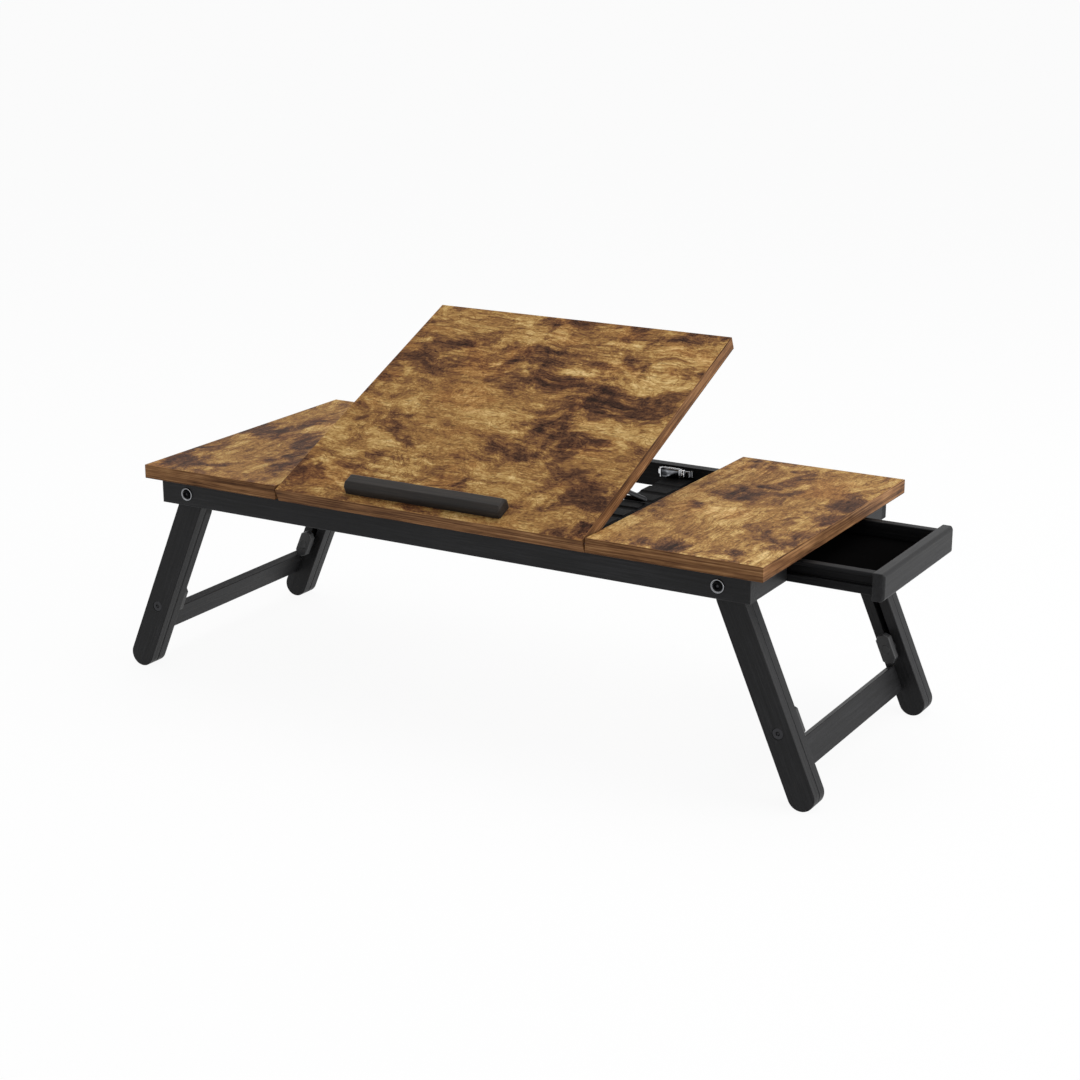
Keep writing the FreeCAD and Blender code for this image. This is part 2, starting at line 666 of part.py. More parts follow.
saddle_screws = []
for across in (-saddle_offset, saddle_offset):
    for along in (-saddle_screw_offset, saddle_screw_offset):
        shank = document.addObject("Part::Cylinder", "saddle_screw_shank")
        bind(shank, "Radius", saddle_screw_radius)
        bind(shank, "Height", saddle_screw_depth + saddle_wall)
        on_panel(shank, stay_pivot_reach + along, -board_thickness / 2 - saddle_wall, across)
        head = document.addObject("Part::Sphere", "saddle_screw_head")
        bind(head, "Radius", saddle_screw_head)
        head.Angle1 = -90
        head.Angle2 = 0
        on_panel(head, stay_pivot_reach + along, -board_thickness / 2 - saddle_wall, across)
        screw = document.addObject("Part::Fuse", "saddle_screw")
        screw.Base = shank
        screw.Tool = head
        saddle_screws.append(screw)
group("saddle_screws", saddle_screws)


# ---------------------------------------------------------------- the drawer
groove_top = drawer_height - runner_drop
groove_bottom = groove_top - runner_height - slide_clearance * 2
floor_top = drawer_floor_lift + drawer_floor_thickness
drawer_middle_x = drawer_inner_end + drawer_length / 2


def drawer_side(label, side):
    """Side with the runner groove in its outer face and the floor groove in its inner face."""
    wall = new_body(label)
    outer, inner = drawer_width / 2, drawer_width / 2 - drawer_wall
    groove = outer - runner_reach - slide_clearance
    seat = inner + drawer_floor_tongue
    outline = [(outer, 0), (outer, groove_bottom), (groove, groove_bottom), (groove, groove_top),
               (outer, groove_top), (outer, drawer_height), (inner, drawer_height), (inner, floor_top),
               (seat, floor_top), (seat, drawer_floor_lift), (inner, drawer_floor_lift), (inner, 0)]
    section = new_sketch(wall, "X")
    draw_polygon(section, [(y * side, z) for y, z in outline])
    pad(wall, section, drawer_length)
    place(wall, drawer_middle_x, 0, drawer_bottom_z)
    return wall


drawer_side("drawer_side_front", -1)
drawer_side("drawer_side_rear", 1)

drawer_inside = drawer_width - drawer_wall * 2
drawer_back = block("drawer_back", drawer_wall, drawer_inside, drawer_height - floor_top)
place(drawer_back, drawer_inner_end + drawer_wall / 2, 0, drawer_bottom_z + (floor_top + drawer_height) / 2)

floor_width = drawer_inside + drawer_floor_tongue * 2
drawer_floor = block("drawer_floor", drawer_length + drawer_floor_tongue, floor_width, drawer_floor_thickness)
place(drawer_floor, drawer_middle_x + drawer_floor_tongue / 2, 0,
      drawer_bottom_z + drawer_floor_lift + drawer_floor_thickness / 2)


def drawer_front_board():
    """Front board, bevelled round its outer face, with the groove that takes the end of the floor."""
    height = drawer_height + drawer_front_rise + drawer_front_drop
    front = block("drawer_front", drawer_front_thickness, drawer_front_length, height)
    limit = drawer_front_thickness.number / 2 - 0.01
    soften(front, "Chamfer", drawer_front_chamfer, lambda edge: edge.CenterOfMass.x > limit)
    groove = new_sketch(front, "X", -drawer_front_thickness / 2)
    low = drawer_front_drop + drawer_floor_lift - height / 2
    high = low + drawer_floor_thickness
    half = floor_width / 2
    draw_polygon(groove, [(-half, low), (half, low), (half, high), (-half, high)])
    cut(front, groove, drawer_floor_tongue)
    place(front, drawer_outer_end + drawer_front_thickness / 2, 0,
          drawer_bottom_z - drawer_front_drop + height / 2)
    return front


drawer_front_board()


def drawer_runner(label, side):
    """Fixed bar beside the drawer whose tongue runs in the groove of the drawer side."""
    runner = new_body(label)
    near = opening_half
    far = near + runner_body
    tip = drawer_width / 2 - runner_reach
    top = drawer_height + drawer_top_gap
    low, high = groove_bottom + slide_clearance, groove_top - slide_clearance
    outline = [(near, low - runner_drop), (far, low - runner_drop), (far, top), (near, top),
               (near, high), (tip, high), (tip, low), (near, low)]
    section = new_sketch(runner, "X")
    draw_polygon(section, [(y * side, z) for y, z in outline])
    start, finish = right_joint + batten_width, frame_end - rail_thickness
    pad(runner, section, finish - start)
    place(runner, (start + finish) / 2, 0, drawer_bottom_z)
    return runner


drawer_runner("drawer_runner_front", -1)
drawer_runner("drawer_runner_rear", 1)


# ---------------------------------------------------------------- the legs
def on_leg(item, end, side_y, reach=0, outward=0):
    """Puts a piece on a leaning leg: reach is measured down the leg from its pivot."""
    x = (pivot_x + as_size(outward) * cosine(leg_splay) + as_size(reach) * sine(leg_splay)) * end
    z = pivot_z + as_size(outward) * sine(leg_splay) - as_size(reach) * cosine(leg_splay)
    place(item, x, side_y, z, (0, 1, 0), leg_splay * -end)


def outline_edges(body, thickness):
    """Test for the edges round a flat face of a leg, apart from those of its holes and slots."""
    document.recompute()
    sides = [face for face in body.Tip.Shape.Faces if face.normalAt(0, 0).y < -0.99]
    outer = max(sides, key=lambda face: face.Area)
    rim = [(edge.CenterOfMass.x, edge.CenterOfMass.z) for edge in outer.OuterWire.Edges]

    def on_rim(edge):
        centre = edge.CenterOfMass
        if abs(abs(centre.y) - thickness.number / 2) > 0.01:
            return False
        return any(abs(centre.x - x) + abs(centre.z - z) < 0.01 for x, z in rim)

    return on_rim


def upper_leg(label, end, side):
    """Leg that turns on its pivot bolt; its round head is narrower, to clear the board above."""
    leg = new_body(label)
    face = new_sketch(leg, "Y")
    draw_capsule(face, (0, -leg_length), (0, -leg_shoulder), leg_half)
    pad(leg, face, leg_thickness)
    head = new_sketch(leg, "Y")
    draw_circle(head, (0, 0), leg_head_radius)
    pad(leg, head, leg_thickness)
    soften(leg, "Fillet", leg_edge_round, outline_edges(leg, leg_thickness))
    bores = new_sketch(leg, "Y")
    draw_circle(bores, (0, 0), pivot_radius + pin_clearance)
    draw_circle(bores, (0, -clamp_reach), clamp_radius)
    cut(leg, bores)
    recess = new_sketch(leg, "Y", leg_thickness * side / 2)
    draw_circle(recess, (0, -clamp_reach), clamp_head_radius)
    cut(leg, recess, clamp_head_height)
    blind = new_sketch(leg, "Y", leg_thickness * -side / 2)
    draw_circle(blind, (0, -guide_reach), guide_pin_radius)
    cut(leg, blind, leg_thickness * 0.75)
    on_leg(leg, end, leg_y * side)
    return leg


def extension_leg(label, end, side):
    """Leg that slides along the upper leg; its slot runs on the clamp bolt and the guide pin."""
    leg = new_body(label)
    face = new_sketch(leg, "Y")
    draw_capsule(face, (0, -leg_length), (0, -extension_top - leg_half), leg_half)
    pad(leg, face, leg_thickness)
    soften(leg, "Fillet", leg_edge_round, outline_edges(leg, leg_thickness))
    slot = new_sketch(leg, "Y")
    draw_capsule(slot, (0, -clamp_reach), (0, -slot_top), clamp_radius + slot_clearance)
    cut(leg, slot)
    on_leg(leg, end, extension_y * side)
    return leg


def crossbar(label, end):
    """Bar between two extension legs. Both leg frames are alike, so both have it on their left edge."""
    length = (extension_y - leg_thickness / 2) * 2
    bar = block(label, crossbar_thickness, length, crossbar_height)
    soften(bar, "Fillet", leg_edge_round, lambda edge: runs_along(edge, (0, 1, 0)))
    on_leg(bar, end, 0, crossbar_reach, (leg_half - crossbar_inset - crossbar_thickness / 2) * -end)
    return bar


def pivot_bolt(end, side):
    """Bolt through a long rail and the head of a leg, with a hexagon socket in its flat head."""
    reach = rail_thickness + leg_gap + leg_thickness + leg_gap + pivot_nut_height
    rim = pivot_head_radius - bolt_bevel
    shoulder = bolt_bevel - pivot_head_height
    bolt = turned("pivot_bolt", [(0, -pivot_head_height), (rim, -pivot_head_height),
                                 (pivot_head_radius, shoulder), (pivot_head_radius, 0),
                                 (pivot_radius, 0), (pivot_radius, reach), (0, reach)])
    socket = new_sketch(bolt, "Y", -pivot_head_height)
    corner = pivot_socket / (2 * math.cos(math.pi / 6))
    draw_polygon(socket, [(corner * math.cos(math.pi * step / 3), corner * math.sin(math.pi * step / 3))
                          for step in range(6)])
    cut(bolt, socket, pivot_head_height * 0.7)
    place(bolt, pivot_x * end, frame_side * side, pivot_z, (0, 0, 1), 0 if side < 0 else 180)
    return bolt


def pivot_nut(end, side):
    """Round nut on the inner end of a pivot bolt."""
    rim = pivot_nut_radius - bolt_bevel
    shoulder = pivot_nut_height - bolt_bevel
    nut = turned("pivot_nut", [(pivot_radius, 0), (pivot_nut_radius, 0), (pivot_nut_radius, shoulder),
                               (rim, pivot_nut_height), (pivot_radius, pivot_nut_height)])
    y = leg_y - leg_thickness / 2 - leg_gap
    place(nut, pivot_x * end, y * side, pivot_z, (0, 0, 1), 0 if side < 0 else 180)
    return nut


def clamp_bolt(end, side):
    """Bolt with a flat head let into the upper leg; it passes the slot and carries the knob."""
    reach = leg_thickness * 2 - clamp_head_height + leg_gap * 2 + knob_boss_height + knob_height * 0.6
    bolt = turned("clamp_bolt", [(0, -clamp_head_height), (clamp_head_radius, -clamp_head_height),
                                 (clamp_head_radius, 0), (clamp_radius, 0), (clamp_radius, reach),
                                 (0, reach)])
    y = leg_y + leg_thickness / 2 - clamp_head_height
    place(bolt, clamp_x * end, y * side, clamp_z, (0, 0, 1), 0 if side < 0 else 180)
    return bolt


def guide_pin(end, side):
    """Pin in a blind hole of the upper leg that keeps the slot of the extension in line."""
    pin = document.addObject("Part::Cylinder", "guide_pin")
    length = leg_thickness * 1.7
    bind(pin, "Radius", guide_pin_radius)
    bind(pin, "Height", length)
    start = leg_y - leg_thickness / 2 + leg_thickness * 0.75
    place(pin, (pivot_x + guide_reach * sine(leg_splay)) * end, start * side,
          pivot_z - guide_reach * cosine(leg_splay), (1, 0, 0), 90 * side)
    return pin


def knob(label, end, side):
    """Clamping knob: a bar grip along the leg, with faceted ends, on a hub that narrows to the leg."""
    middle = knob_boss_height + knob_height / 2
    grip = turned(label, [(0, 0), (knob_neck_radius, 0), (knob_boss_radius, knob_boss_height),
                          (knob_boss_radius, middle), (0, middle)])
    reach, half = knob_length / 2, knob_width / 2
    outline = [(reach, half - knob_facet), (reach - knob_facet, half), (knob_facet - reach, half),
               (-reach, half - knob_facet), (-reach, knob_facet - half), (knob_facet - reach, -half),
               (reach - knob_facet, -half), (reach, knob_facet - half)]
    lean_x, lean_z = sine(leg_splay) * (end * -side), cosine(leg_splay)
    bar = new_sketch(grip, "Y", middle)
    draw_polygon(bar, [(along * lean_x + across * lean_z, across * lean_x - along * lean_z)
                       for along, across in outline])
    pad(grip, bar, knob_height)
    face = (knob_boss_height + knob_height).number - 0.01
    soften(grip, "Fillet", knob_edge_round, lambda edge: edge.CenterOfMass.y > face)
    bore = new_sketch(grip, "Y")
    draw_circle(bore, (0, 0), clamp_radius + pin_clearance)
    cut(grip, bore, knob_boss_height + knob_height * 0.7)
    y = extension_y - leg_thickness / 2 - leg_gap
    place(grip, clamp_x * end, y * side, clamp_z, (0, 0, 1), 0 if side < 0 else 180)
    return grip


ENDS = (("left", -1), ("right", 1))
SIDES = (("front", -1), ("rear", 1))

for end_name, end in ENDS:
    for side_name, side in SIDES:
        upper_leg(f"leg_{side_name}_{end_name}", end, side)
        extension_leg(f"extension_{side_name}_{end_name}", end, side)
        knob(f"knob_{side_name}_{end_name}", end, side)
    crossbar(f"crossbar_{end_name}", end)
    group(f"clamp_bolts_{end_name}", [clamp_bolt(end, side) for _, side in SIDES])
    group(f"guide_pins_{end_name}", [guide_pin(end, side) for _, side in SIDES])
group("pivot_bolts", [pivot_bolt(end, side) for _, end in ENDS for _, side in SIDES])
group("pivot_nuts", [pivot_nut(end, side) for _, end in ENDS for _, side in SIDES])


def panel_catch():
    """Plated housing on the rear rail, open above, that holds the magnet of the closed panel."""
    housing = block("panel_catch", catch_length, catch_depth, catch_height)
    soften(housing, "Fillet", catch_edge_round,
           lambda edge: runs_along(edge, (1, 0, 0)) and edge.CenterOfMass.y < 0)
    hollow = new_sketch(housing, "Z", catch_height / 2)
    x, y = catch_length / 2 - catch_wall, catch_depth / 2 - catch_wall
    draw_polygon(hollow, [(-x, -y), (x, -y), (x, y), (-x, y)])
    cut(housing, hollow, catch_height - catch_wall)
    place(housing, catch_centre, catch_y, catch_top - catch_height / 2)
    return housing


catch_y = frame_inside - catch_depth / 2
catch_top = board_bottom - catch_drop
panel_catch()

magnet_height = catch_height - catch_wall + magnet_rise
magnet = block("catch_magnet", catch_length - catch_wall * 2, catch_depth - catch_wall * 2, magnet_height)
magnet_face = magnet_height.number / 2 - 0.01
soften(magnet, "Chamfer", magnet_bevel, lambda edge: edge.CenterOfMass.z > magnet_face)
place(magnet, catch_centre, catch_y, catch_top + magnet_rise - magnet_height / 2)

plate = block("catch_plate", plate_length, catch_depth - catch_wall, plate_thickness)
soften(plate, "Fillet", plate_corner, lambda edge: runs_along(edge, (0, 0, 1)))
on_panel(plate, catch_y - hinge_y, (plate_thickness + board_thickness) / -2, catch_centre - panel_middle)


# ---------------------------------------------------------------- checks and export
document.recompute()
os.makedirs("parts", exist_ok=True)
for item in document.Objects:
    if "Invalid" in item.State or "Error" in item.State:
        raise RuntimeError(f"{item.Label} failed: {item.State}")

grouped = {member for item in document.Objects if item.TypeId == "Part::Compound" for member in item.Links}
for item in document.Objects:
    is_piece = item.TypeId in ("PartDesign::Body", "Part::Compound")
    if not is_piece or item in grouped:
        continue
    shape = item.Shape
    if shape.isNull() or not shape.isValid():
        raise RuntimeError(f"{item.Label} has no valid shape")
    shape.exportStep(f"parts/{item.Label}.step")
    print(f"{item.Label}: {len(shape.Solids)} solid(s), {shape.Volume / 1000:.1f} cm3")
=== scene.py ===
"""Folding laptop table: its finishes, its small parts in full detail, the light and the camera."""

import json
import math

import bmesh
import bpy
from mathutils import Matrix, Vector

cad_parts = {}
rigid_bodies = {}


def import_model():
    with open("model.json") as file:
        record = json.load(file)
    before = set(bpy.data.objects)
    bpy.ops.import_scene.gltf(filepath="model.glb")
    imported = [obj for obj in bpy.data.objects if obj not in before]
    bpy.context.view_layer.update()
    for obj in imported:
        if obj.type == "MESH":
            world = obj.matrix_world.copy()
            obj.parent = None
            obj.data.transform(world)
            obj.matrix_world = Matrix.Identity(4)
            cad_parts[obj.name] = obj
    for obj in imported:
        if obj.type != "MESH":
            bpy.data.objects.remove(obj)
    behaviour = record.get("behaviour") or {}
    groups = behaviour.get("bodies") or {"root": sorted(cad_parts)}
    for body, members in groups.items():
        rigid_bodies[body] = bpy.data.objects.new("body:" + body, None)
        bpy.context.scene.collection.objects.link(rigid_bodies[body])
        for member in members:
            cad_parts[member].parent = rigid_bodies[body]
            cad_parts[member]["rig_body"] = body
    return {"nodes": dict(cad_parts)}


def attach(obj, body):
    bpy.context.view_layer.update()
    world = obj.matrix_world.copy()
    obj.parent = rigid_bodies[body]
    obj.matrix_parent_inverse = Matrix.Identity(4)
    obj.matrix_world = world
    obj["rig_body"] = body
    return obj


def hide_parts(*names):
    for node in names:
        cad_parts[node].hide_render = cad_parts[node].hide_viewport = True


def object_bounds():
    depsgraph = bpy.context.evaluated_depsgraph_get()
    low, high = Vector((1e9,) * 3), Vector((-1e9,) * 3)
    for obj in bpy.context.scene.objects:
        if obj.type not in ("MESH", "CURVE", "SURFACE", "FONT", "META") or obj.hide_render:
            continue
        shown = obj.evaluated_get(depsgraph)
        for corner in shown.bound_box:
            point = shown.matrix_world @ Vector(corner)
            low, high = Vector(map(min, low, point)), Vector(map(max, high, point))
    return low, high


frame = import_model()
solid_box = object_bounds()
NODES = frame["nodes"]

# ---------------------------------------------------------------- sizes, in metres and degrees
TILT = 23.4  # of the centre panel
HINGE = Vector((0, -0.1695, 0.2325))  # a point on the pin line of the centre panel
LEAN = 23.2  # of the legs
RAIL_FACE = max(corner.co.y for corner in NODES["rear_rail"].data.vertices)  # outside of the long rails

# Rounding of the edges.
BOARD_EDGE = 0.0009
BAR_EDGE = 0.0011
FINE_EDGE = 0.0006
KNOB_EDGE = 0.0009
SHARP = math.radians(32)  # a sharper edge is rounded over, and otherwise drawn crisp
FLAT = math.radians(0.6)  # faces that turn less than this are one face
WELD = 0.000002

# Radii of the bolts and screws.
BOLT_SHANK = 0.003
BOLT_END = 0.0026
CLAMP_HEAD = 0.006
SCREW_HEAD = 0.0036
SMALL_SCREW_HEAD = 0.003

# The camera and the light.
AZIMUTH, ELEVATION = 30.23, 16.88
EYE = (1.1395, -1.9142, 0.8411)
FOCAL_LENGTH = 73.27
FLOOR_WHITE = 0.93  # share of plain white in what the camera sees of the floor
DIM_SKY, BRIGHT_SKY = 0.3, 0.85


def paint(red, green, blue):
    """A colour given as it looks on a screen, from 0 to 255, as shader light values."""
    return tuple(((part / 255 + 0.055) / 1.055) ** 2.4 if part > 10 else part / 255 / 12.92
                 for part in (red, green, blue)) + (1.0,)


# ---------------------------------------------------------------- shader writing
class Value:
    """One output of a node; sums and products of it add the Math nodes that they need."""

    def __init__(self, finish, socket):
        self.finish = finish
        self.socket = socket

    def _math(self, operation, first, second=None):
        values = {0: first} if second is None else {0: first, 1: second}
        return self.finish.node("ShaderNodeMath", {"operation": operation}, values)

    def __add__(self, other):
        return self._math("ADD", self, other)

    def __radd__(self, other):
        return self._math("ADD", other, self)

    def __sub__(self, other):
        return self._math("SUBTRACT", self, other)

    def __rsub__(self, other):
        return self._math("SUBTRACT", other, self)

    def __mul__(self, other):
        return self._math("MULTIPLY", self, other)

    def __truediv__(self, other):
        return self._math("DIVIDE", self, other)

    def __gt__(self, other):
        return self._math("GREATER_THAN", self, other)

    def __abs__(self):
        return self._math("ABSOLUTE", self)

    def sine(self):
        return self._math("SINE", self)


class Shading:
    """A node tree under construction."""

    def __init__(self, tree):
        self.tree = tree

    def node(self, kind, settings=None, values=None, output=0):
        """Adds a node: its settings first, then the values or links of its sockets."""
        made = self.tree.nodes.new(kind)
        for name, setting in (settings or {}).items():
            if name == "stops":
                ramp = made.color_ramp.elements
                while len(ramp) < len(setting):
                    ramp.new(0.5)
                for element, (position, colour) in zip(ramp, setting):
                    element.position = position
                    element.color = colour
            else:
                setattr(made, name, setting)
        for key, value in (values or {}).items():
            if isinstance(value, Value):
                self.tree.links.new(value.socket, made.inputs[key])
            else:
                made.inputs[key].default_value = value
        return Value(self, made.outputs[output])

    def blend(self, mask, first, second):
        """Colour that goes from the first to the second as the mask goes from 0 to 1."""
        return self.node("ShaderNodeMix", {"data_type": "RGBA"}, {0: mask, 6: first, 7: second}, output=2)

    def step(self, value, start, finish):
        """Soft step from 0 at start to 1 at finish."""
        settings = {"interpolation_type": "SMOOTHSTEP"}
        return self.node("ShaderNodeMapRange", settings, {0: value, 1: start, 2: finish, 3: 0.0, 4: 1.0})

    def parts(self, place):
        """X, Y and Z of a vector as values."""
        split = self.node("ShaderNodeSeparateXYZ", None, {0: place}).socket.node
        return [Value(self, output) for output in split.outputs]

    def backdrop(self, lit, share):
        """The lit surface, with white mixed in where the camera, metal or glass looks at it."""
        path = self.node("ShaderNodeLightPath").socket.node.outputs
        looked = Value(self, path["Is Camera Ray"]) + Value(self, path["Is Glossy Ray"])
        looked = looked + Value(self, path["Is Transmission Ray"])
        return self.node("ShaderNodeMixShader", None, {0: looked * share, 1: lit})


class Finish(Shading):
    """A material under construction around one Principled shader."""

    def __init__(self, name, **constants):
        self.material = bpy.data.materials.new(name)
        self.material.use_nodes = True
        super().__init__(self.material.node_tree)
        self.shader = self.tree.nodes["Principled BSDF"]
        for socket, value in constants.items():
            self.shader.inputs[socket.replace("_", " ")].default_value = value

    def feed(self, socket, value):
        self.tree.links.new(value.socket, self.shader.inputs[socket])

    def noise(self, place, scale, detail, rough=0.55, twist=0.0, output=0):
        values = {"Vector": place, "Scale": scale, "Detail": detail, "Roughness": rough, "Distortion": twist}
        return self.node("ShaderNodeTexNoise", {"noise_dimensions": "3D"}, values, output=output)

    def stretch(self, place, x, y, z):
        return self.node("ShaderNodeVectorMath", {"operation": "MULTIPLY"}, {0: place, 1: (x, y, z)})

    def shift(self, place, x, y, z):
        return self.node("ShaderNodeVectorMath", {"operation": "ADD"}, {0: place, 1: (x, y, z)})

    def sway(self, place, by, x, y, z):
        """The place pushed about by a coloured noise."""
        settings = {"operation": "MULTIPLY_ADD"}
        return self.node("ShaderNodeVectorMath", settings, {0: by, 1: (x, y, z), 2: place})

    def bump(self, height, depth, below=None):
        """Normal of a surface raised by height, times depth in metres."""
        values = {"Height": height, "Strength": 1.0, "Distance": depth}
        if below is not None:
            values["Normal"] = below
        return self.node("ShaderNodeBump", None, values)

    def place(self, tilt=0.0):
        """The point on the object; a tilted piece is read as if it lay flat, about the pin line."""
        point = self.node("ShaderNodeTexCoord", output=3)
        if not tilt:
            return point
        values = {"Vector": point, "Center": HINGE, "Angle": -math.radians(tilt)}
        return self.node("ShaderNodeVectorRotate", {"rotation_type": "X_AXIS"}, values)


# ---------------------------------------------------------------- finishes
def laminate(name, tilt, offset, grain_turn=0.0):
    """Rustic wood print: golden brown with streaks along X, smoky dark burl patches, knots, cracks and pores.

    The offset picks a part of the sheet. The grain turns by grain_turn degrees where a board is cut across it.
    """
    finish = Finish(name, Specular_IOR_Level=0.02)
    point = finish.shift(finish.place(tilt), *offset)
    if grain_turn:
        values = {"Vector": point, "Angle": math.radians(grain_turn)}
        point = finish.node("ShaderNodeVectorRotate", {"rotation_type": "Z_AXIS"}, values)
    # Clouds, from the widest to the finest, on a slowly wandering sheet.
    drift = finish.noise(point, 9.0, 3.0, output=1)
    bent = finish.sway(point, drift, 0.07, 0.04, 0)
    flow = finish.stretch(bent, 1.0, 1.35, 1.0)
    clouds = finish.noise(flow, 9.5, 4.0, 0.62)
    smoke = finish.noise(flow, 26.0, 6.0, 0.64, 0.6)
    gold = finish.noise(finish.shift(finish.stretch(flow, 1, 1.3, 1), 3.1, 1.7, 0.4), 15.0, 5.0, 0.68, 0.3)
    mottle = finish.noise(flow, 75.0, 5.0, 0.72, 0.8)
    fine = finish.noise(finish.stretch(bent, 1, 1.6, 1), 320.0, 3.0, 0.7)
    # Streaks, grain and pores, drawn out along the sheet; they are stronger where it is figured.
    streak = finish.noise(finish.stretch(bent, 13.0, 95.0, 13.0), 1.0, 6.0, 0.7, 0.3)
    grain = finish.noise(finish.stretch(bent, 24.0, 420.0, 24.0), 1.0, 4.0, 0.7)
    pores = finish.noise(finish.stretch(point, 90.0, 700.0, 90.0), 1.0, 2.0, 0.5)
    figured = finish.step(finish.noise(finish.shift(flow, 0.3, 5.2, 1.1), 6.0, 3.0, 0.5), 0.42, 0.6)
    # Half of the cells hold a knot with rings round it.
    cell = finish.node("ShaderNodeTexVoronoi", None, {"Vector": flow, "Scale": 6.5, "Randomness": 1.0})
    chance = finish.parts(Value(finish, cell.socket.node.outputs["Color"]))[0]
    knot = (1 - finish.step(cell, 0.0, 0.2)) * (chance > 0.5)
    rings = (cell * 150.0 + smoke * 14.0).sine() * knot
    # Fine cracks between crooked cells, only in the paler places.
    wandering = finish.stretch(finish.sway(flow, drift, 0.2, 0.2, 0), 1.0, 1.7, 1.0)
    cracked = finish.node("ShaderNodeTexVoronoi", {"feature": "DISTANCE_TO_EDGE"},
                          {"Vector": wandering, "Scale": 46.0, "Randomness": 1.0})
    crack = (1 - finish.step(cracked, 0.0, 0.04)) * finish.step(gold * 0.4 + mottle * 0.6, 0.5, 0.57)
    # All of it as one tone, and the tone as a colour.
    dark = finish.step(clouds * 0.56 + smoke * 0.4 + streak * 0.16 + knot * 0.1 - gold * 0.12, 0.475, 0.6)
    light = finish.step(gold * 0.85 - smoke * 0.3 + 0.24, 0.47, 0.64)
    tone = (0.55 - dark * 0.36 + light * 0.22 + (mottle - 0.5) * 0.85 + (fine - 0.5) * 0.7
            + (streak - 0.5) * (0.45 + figured * 0.75) + (grain - 0.5) * (0.3 + figured * 0.4)
            - rings * 0.08 - crack * 0.24)
    stops = [(0.0, paint(34, 22, 17)), (0.2, paint(70, 46, 34)), (0.4, paint(112, 77, 50)),
             (0.58, paint(148, 109, 63)), (0.76, paint(182, 147, 90)), (1.0, paint(218, 188, 132))]
    colour = finish.node("ShaderNodeValToRGB", {"stops": stops}, {0: tone})
    rosy = finish.step(finish.noise(finish.shift(flow, 1.3, 0.2, 2.1), 13.0, 4.0, 0.6), 0.5, 0.66) * 0.45
    redder = finish.node("ShaderNodeMix", {"data_type": "RGBA", "blend_type": "MULTIPLY"},
                         {0: rosy, 6: colour, 7: (1.0, 0.82, 0.78, 1.0)}, output=2)
    fleck = finish.step(pores, 0.6, 0.7) * 0.55
    finish.feed("Base Color", finish.blend(fleck, redder, paint(46, 30, 21)))
    finish.feed("Roughness", 0.52 - dark * 0.06 + (fine - 0.5) * 0.2)
    relief = finish.bump(grain * 0.6 + fine * 0.3, 0.00012)
    finish.feed("Normal", finish.bump(1 - finish.step(pores, 0.58, 0.68), 0.00008, relief))
    return finish.material


def edge_band(name, tilt, middle, half):
    """Edge banding: red brown, with long fine lines along every edge and a thin glue line above and below."""
    finish = Finish(name, Specular_IOR_Level=0.05)
    point = finish.place(tilt)
    drift = finish.noise(finish.stretch(point, 6.0, 6.0, 30.0), 1.0, 2.0, output=1)
    bent = finish.sway(point, drift, 0, 0, 0.004)
    lines = finish.noise(finish.stretch(bent, 6.0, 6.0, 520.0), 1.0, 4.0, 0.7)
    hair = finish.noise(finish.stretch(bent, 40.0, 40.0, 2400.0), 1.0, 2.0, 0.5)
    patch = finish.noise(finish.stretch(point, 1, 1, 4), 20.0, 3.0, 0.6)
    height = abs(finish.parts(point)[2] - middle) / half
    glue = finish.step(height, 0.8, 0.9) * (1 - finish.step(height, 0.9, 0.97))
    tone = 0.48 + (lines - 0.5) * 2.0 + (hair - 0.5) * 0.6 + (patch - 0.5) * 1.0 - glue * 0.3
    stops = [(0.08, paint(58, 37, 25)), (0.4, paint(108, 75, 49)), (0.66, paint(142, 102, 67)),
             (0.95, paint(178, 138, 94))]
    finish.feed("Base Color", finish.node("ShaderNodeValToRGB", {"stops": stops}, {0: tone}))
    finish.feed("Roughness", 0.5 + (hair - 0.5) * 0.25)
    finish.feed("Normal", finish.bump(lines + hair * 0.4 - glue, 0.0001))
    return finish.material


def black_wood(name, along, warm=0.0, shine=0.14, painted_shade=0):
    """Pine stained black: the grain still shows as faint raised lines along the bar.

    A warm bar shows some brown, and a bar in shadow gets painted shade: its colour is darker by that much of a
    screen colour.
    """
    finish = Finish(name, Specular_IOR_Level=shine)
    turn = Vector(along).rotation_difference(Vector((1, 0, 0))).to_euler()
    values = {"Vector": finish.place(), "Rotation": turn}
    point = finish.node("ShaderNodeMapping", {"vector_type": "POINT"}, values)
    drift = finish.noise(finish.stretch(point, 4.0, 16.0, 16.0), 1.0, 2.0, output=1)
    bent = finish.sway(point, drift, 0.0, 0.006, 0.006)
    grain = finish.noise(finish.stretch(bent, 5.0, 330.0, 330.0), 1.0, 4.0, 0.6)
    hair = finish.noise(finish.stretch(bent, 32.0, 1500.0, 1500.0), 1.0, 3.0, 0.55)
    cloud = finish.noise(finish.stretch(point, 9.0, 26.0, 26.0), 1.0, 4.0, 0.6)
    tone = 0.46 + (grain - 0.5) * 0.6 + (hair - 0.5) * 0.6 + (cloud - 0.5) * 0.7
    # The stops are lowered by the painted shade of a bar in shadow, and warmed for a warm bar.
    stops = [(0.1, paint(20 - painted_shade, 20 - painted_shade - warm, 20 - painted_shade - warm)),
             (0.5, paint(34 - painted_shade + warm * 6, 34 - painted_shade + warm * 2, 35 - painted_shade - warm * 2)),
             (0.95, paint(56 - painted_shade + warm * 12, 56 - painted_shade + warm * 5, 58 - painted_shade - warm * 3))]
    finish.feed("Base Color", finish.node("ShaderNodeValToRGB", {"stops": stops}, {0: tone}))
    finish.feed("Roughness", 0.46 + (cloud - 0.5) * 0.24 + (hair - 0.5) * 0.2)
    raised = finish.bump(finish.step(grain, 0.35, 0.7), 0.00011)
    finish.feed("Normal", finish.bump(hair, 0.00005, raised))
    return finish.material


def times(colour, share):
    """The colour made darker or lighter."""
    return tuple(part * share for part in colour[:3]) + (1.0,)


